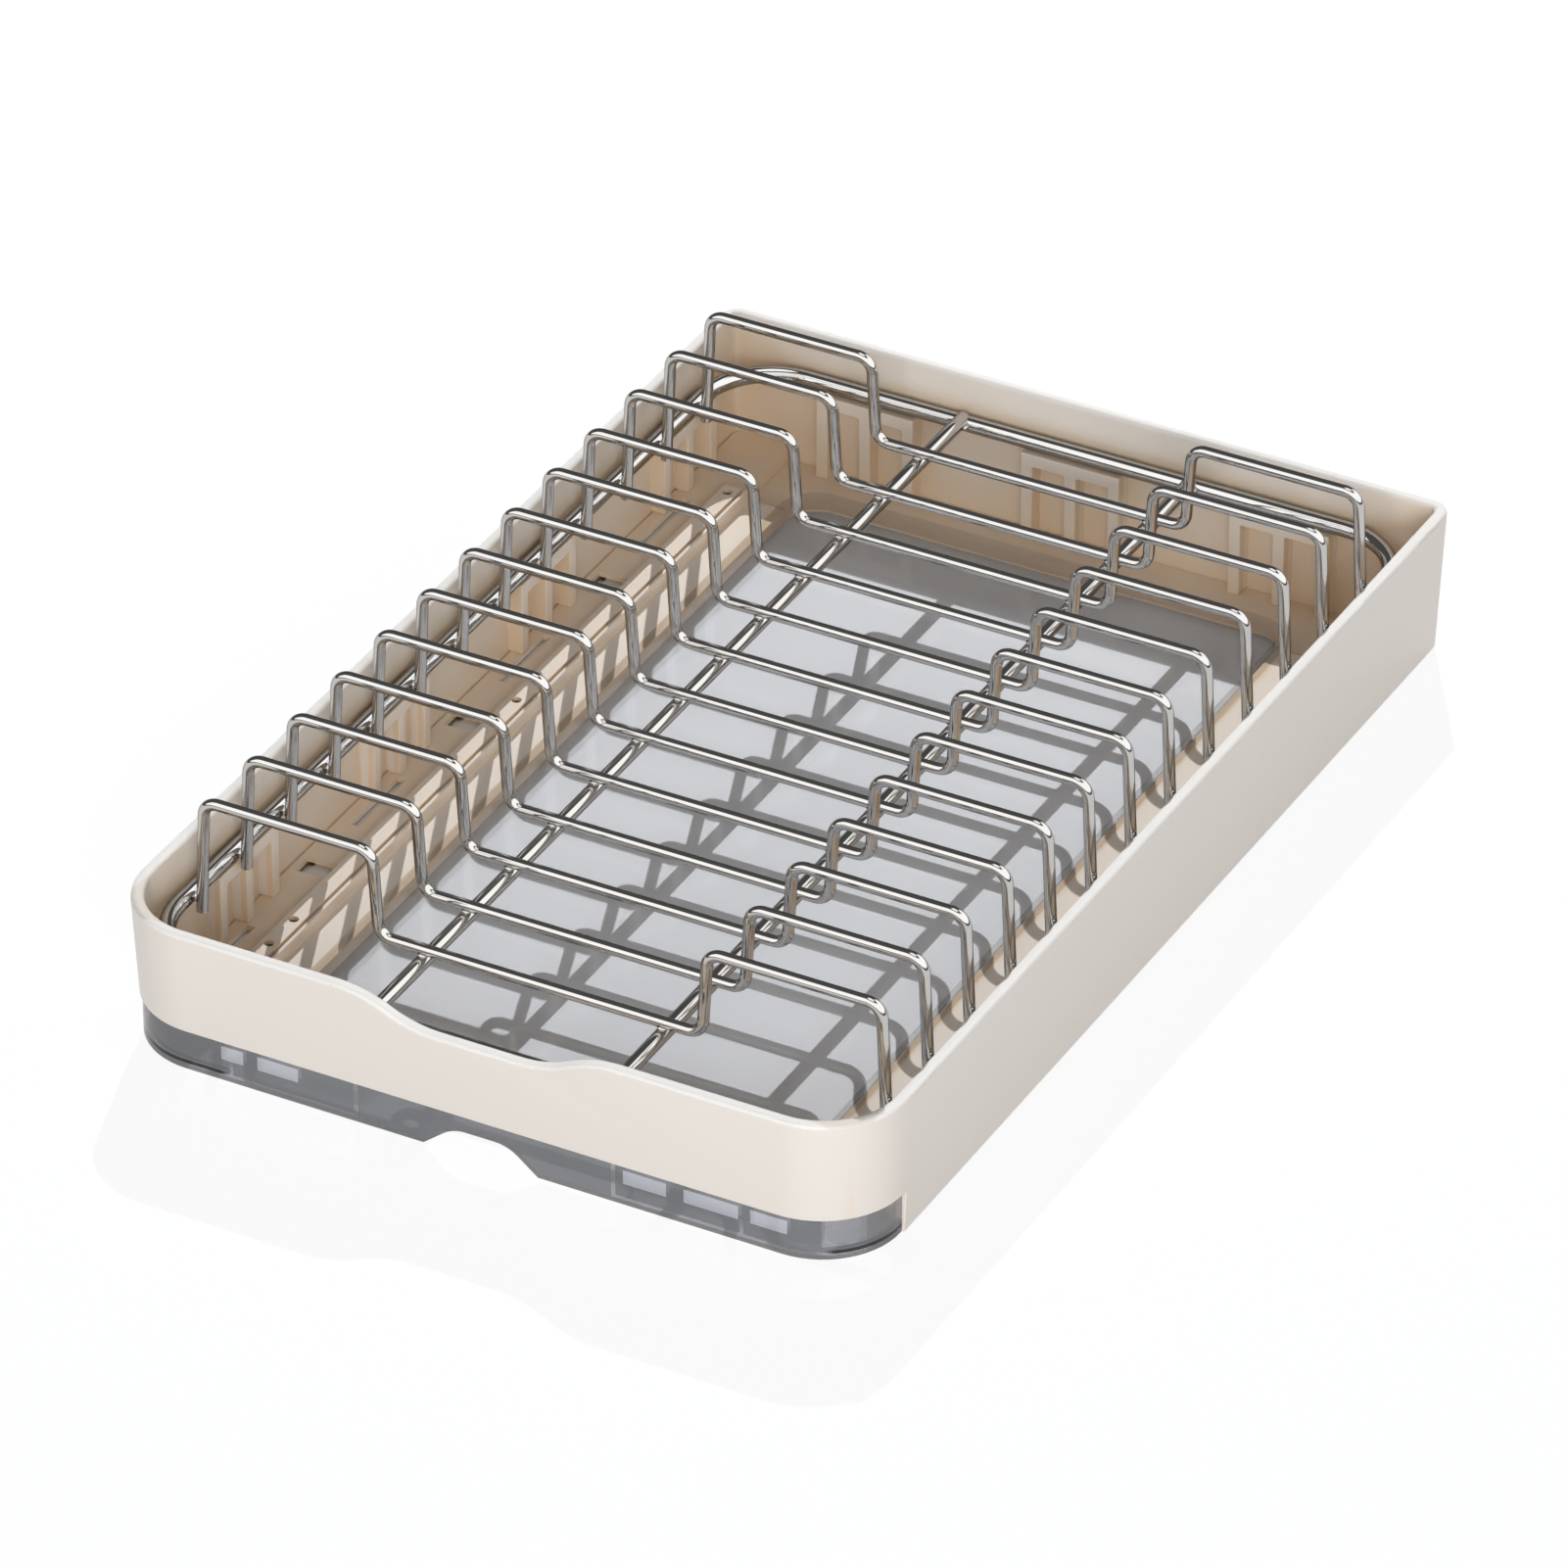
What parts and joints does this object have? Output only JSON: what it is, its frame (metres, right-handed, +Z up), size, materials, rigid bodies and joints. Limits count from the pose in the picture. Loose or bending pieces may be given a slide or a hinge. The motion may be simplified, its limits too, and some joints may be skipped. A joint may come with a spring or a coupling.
{
  "type": "pull-out dish drawer",
  "caption": "Shallow drawer on ball slides with a lift-out chrome plate rack over a slide-out clear drip tray.",
  "frame": {"origin": "middle of the footprint, on the cabinet floor under the slide rails", "axes": "+Z up, the drawer pulls out along -Y, +X to the right seen from the front"},
  "size_m": [0.2798, 0.4298, 0.0794],
  "materials": {
    "moulded_cream": "satin moulded plastic",
    "clear_smoke": "clear smoky plastic",
    "chrome_wire": "bright chrome plate",
    "zinc_steel": "zinc-plated rolled steel",
    "cage_steel": "thin steel strip",
    "ball_steel": "polished",
    "screw_steel": "zinc-plated",
    "buffer_rubber": "matte"
  },
  "bodies": {
    "cabinet_rails": {"left_slide_outer": "zinc_steel", "left_rear_bumper": "buffer_rubber", "right_slide_outer": "zinc_steel", "right_rear_bumper": "buffer_rubber"},
    "left_cage": {"left_ball_retainer": "cage_steel", "left_slide_balls": "ball_steel"},
    "right_cage": {"right_ball_retainer": "cage_steel", "right_slide_balls": "ball_steel"},
    "drawer": {"drawer_frame": "moulded_cream", "tray_carrier": "moulded_cream", "left_rail_housing": "moulded_cream", "left_slide_inner": "zinc_steel", "left_rail_screws": "screw_steel", "right_rail_housing": "moulded_cream", "right_slide_inner": "zinc_steel", "right_rail_screws": "screw_steel"},
    "tray": {"drip_tray": "clear_smoke"},
    "rack": {"rack_ring": "chrome_wire", "left_rod": "chrome_wire", "right_rod": "chrome_wire", "hoop_01": "chrome_wire", "hoop_02": "chrome_wire", "hoop_03": "chrome_wire", "hoop_04": "chrome_wire", "hoop_05": "chrome_wire", "hoop_06": "chrome_wire", "hoop_07": "chrome_wire", "hoop_08": "chrome_wire", "hoop_09": "chrome_wire", "hoop_10": "chrome_wire", "hoop_11": "chrome_wire", "hoop_12": "chrome_wire", "hoop_13": "chrome_wire"}
  },
  "joints": [
    {"name": "drawer_slide", "type": "slide", "parent": "cabinet_rails", "child": "drawer", "axis": [0, -1, 0], "range_m": [0, 0.26]},
    {"name": "left_cage_slide", "type": "slide", "parent": "cabinet_rails", "child": "left_cage", "axis": [0, -1, 0], "range_m": [0, 0.13]},
    {"name": "right_cage_slide", "type": "slide", "parent": "cabinet_rails", "child": "right_cage", "axis": [0, -1, 0], "range_m": [0, 0.13]},
    {"name": "tray_slide", "type": "slide", "parent": "drawer", "child": "tray", "axis": [0, -1, 0], "range_m": [0, 0.3]},
    {"name": "rack_lift", "type": "slide", "parent": "drawer", "child": "rack", "axis": [0, 0, 1], "range_m": [0, 0.08]}
  ],
  "couplings": [
    {"joint": "left_cage_slide", "follows": "drawer_slide", "ratio": 0.5},
    {"joint": "right_cage_slide", "follows": "drawer_slide", "ratio": 0.5}
  ]
}
